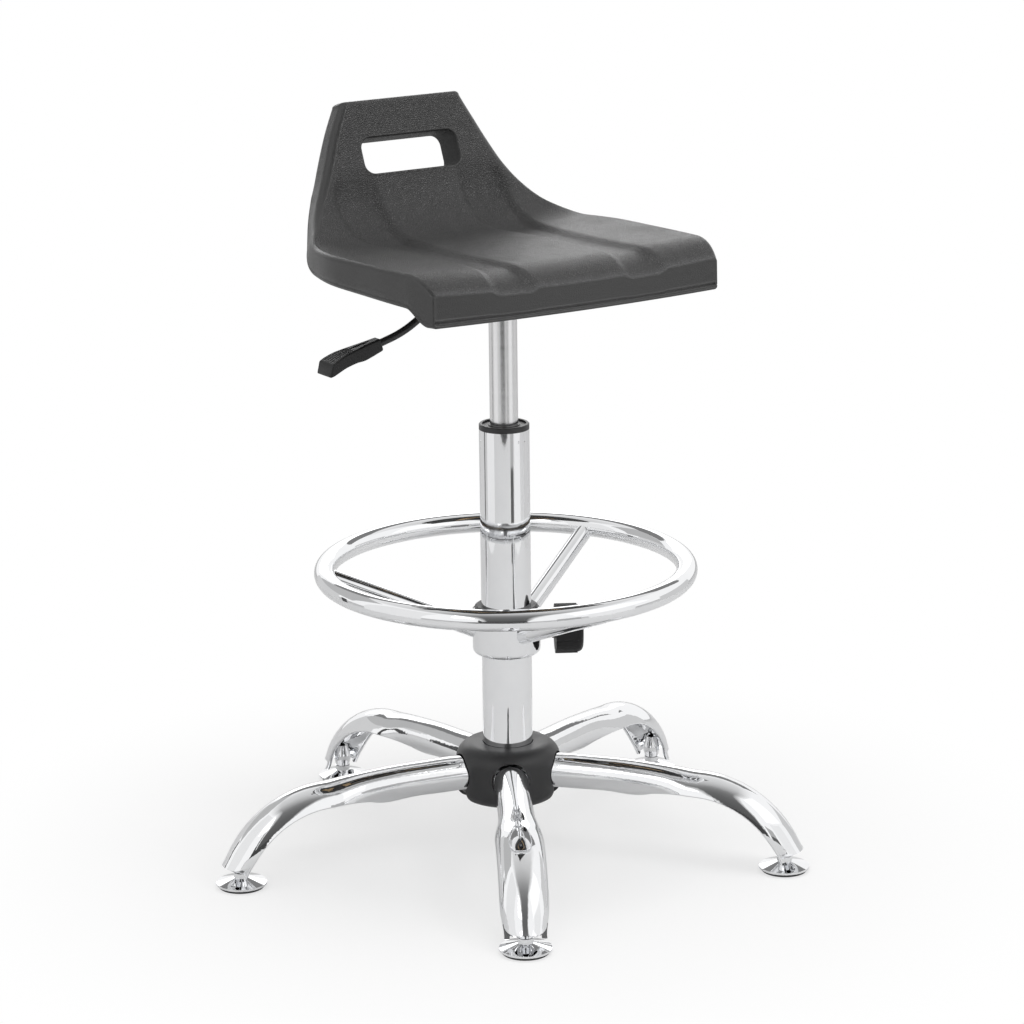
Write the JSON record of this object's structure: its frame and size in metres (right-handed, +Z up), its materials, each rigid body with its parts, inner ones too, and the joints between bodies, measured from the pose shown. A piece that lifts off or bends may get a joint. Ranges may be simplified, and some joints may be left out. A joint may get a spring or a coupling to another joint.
{
  "type": "drafting chair",
  "caption": "Tall swivel drafting stool: moulded dark grey seat with a low back and hand slot on a chromed gas-lift column, sliding foot ring and star base on glides.",
  "frame": {"origin": "on the floor, on the axis of the gas-lift column", "axes": "+Z up, the seat faces -Y, +X is the sitter's left"},
  "size_m": [0.5868, 0.5791, 0.75],
  "materials": {
    "chrome": "polished",
    "steel": "satin",
    "black_steel": "satin black",
    "black_plastic": "satin",
    "brass": "turned",
    "rubber": "matte",
    "foam": "fine leather grain",
    "wood": "raw plywood"
  },
  "bodies": {
    "base": {"hub_core": "steel", "hub_cover": "black_plastic", "column_tube": "chrome", "guide_bush": "black_plastic", "column_base_plate": "steel", "bearing_lower_washer": "steel", "glide_sockets": "chrome", "leg_1": "chrome", "leg_2": "chrome", "leg_3": "chrome", "leg_4": "chrome", "leg_5": "chrome"},
    "bearing": {"bearing_balls": "steel", "bearing_cage": "black_plastic"},
    "piston": {"piston_rod": "steel", "piston_head": "steel", "piston_seal": "rubber", "rod_clip": "steel", "stop_buffer": "rubber", "bearing_upper_washer": "steel"},
    "seat": {"seat_cushion": "foam", "seat_insert": "wood", "seat_nut_plates": "steel", "seat_bolts": "steel", "seat_washers": "steel", "seat_tray": "black_steel", "taper_socket": "steel", "lever_bracket": "steel", "gas_cylinder": "steel", "rod_guide": "steel", "valve_plug": "steel"},
    "lever": {"lever_rod": "black_steel", "lever_pivot": "steel", "lever_grip": "black_plastic"},
    "valve_pin": {"release_pin": "steel"},
    "ring_slide": {"upper_bush": "black_plastic"},
    "foot_rest": {"foot_ring": "chrome", "ring_spokes": "chrome", "ring_collar": "chrome", "lower_bush": "black_plastic", "clamp_insert": "brass"},
    "clamp_slide": {"clamp_tip": "brass"},
    "knob": {"clamp_screw": "steel", "clamp_knob": "black_plastic"},
    "foot_1": {"glide_1": "chrome", "glide_pad_1": "black_plastic"},
    "foot_2": {"glide_2": "chrome", "glide_pad_2": "black_plastic"},
    "foot_3": {"glide_3": "chrome", "glide_pad_3": "black_plastic"},
    "foot_4": {"glide_4": "chrome", "glide_pad_4": "black_plastic"},
    "foot_5": {"glide_5": "chrome", "glide_pad_5": "black_plastic"}
  },
  "joints": [
    {"name": "seat_swivel", "type": "hinge", "parent": "base", "child": "piston", "pos_m": [0, 0, 0.07], "axis": [0, 0, 1], "continuous": true},
    {"name": "bearing_turn", "type": "hinge", "parent": "base", "child": "bearing", "pos_m": [0, 0, 0.07], "axis": [0, 0, 1], "continuous": true},
    {"name": "seat_height", "type": "slide", "parent": "piston", "child": "seat", "axis": [0, 0, 1], "range_m": [-0.095, 0.085]},
    {"name": "lever_lift", "type": "hinge", "parent": "seat", "child": "lever", "pos_m": [-0.03, 0, 0.58315], "axis": [0, 1, 0], "range_deg": [0, 6], "stiffness_Nm_per_rad": 2, "springref_deg": -8.59},
    {"name": "release_press", "type": "slide", "parent": "seat", "child": "valve_pin", "axis": [0, 0, -1], "range_m": [0, 0.00315]},
    {"name": "ring_height", "type": "slide", "parent": "base", "child": "ring_slide", "axis": [0, 0, 1], "range_m": [-0.085, 0.09]},
    {"name": "ring_turn", "type": "hinge", "parent": "ring_slide", "child": "foot_rest", "pos_m": [0, 0, 0.2], "axis": [0, 0, 1], "continuous": true},
    {"name": "clamp_travel", "type": "slide", "parent": "foot_rest", "child": "clamp_slide", "axis": [0.8704, -0.4924, 0], "range_m": [0, 0.00187]},
    {"name": "knob_turn", "type": "hinge", "parent": "clamp_slide", "child": "knob", "pos_m": [0.05222, -0.02954, 0.231], "axis": [0.8704, -0.4924, 0], "range_deg": [0, 541]},
    {"name": "glide_turn_1", "type": "hinge", "parent": "base", "child": "foot_1", "pos_m": [-0.14028, -0.24694, 0], "axis": [0, 0, 1], "continuous": true},
    {"name": "glide_turn_2", "type": "hinge", "parent": "base", "child": "foot_2", "pos_m": [0.1915, -0.20972, 0], "axis": [0, 0, 1], "continuous": true},
    {"name": "glide_turn_3", "type": "hinge", "parent": "base", "child": "foot_3", "pos_m": [0.25863, 0.11732, 0], "axis": [0, 0, 1], "continuous": true},
    {"name": "glide_turn_4", "type": "hinge", "parent": "base", "child": "foot_4", "pos_m": [-0.03166, 0.28223, 0], "axis": [0, 0, 1], "continuous": true},
    {"name": "glide_turn_5", "type": "hinge", "parent": "base", "child": "foot_5", "pos_m": [-0.2782, 0.05711, 0], "axis": [0, 0, 1], "continuous": true}
  ],
  "couplings": [
    {"joint": "bearing_turn", "follows": "seat_swivel", "ratio": 0.5},
    {"joint": "release_press", "follows": "lever_lift", "m_per_rad": 0.03},
    {"joint": "knob_turn", "follows": "clamp_travel", "rad_per_m": 5026.5}
  ]
}
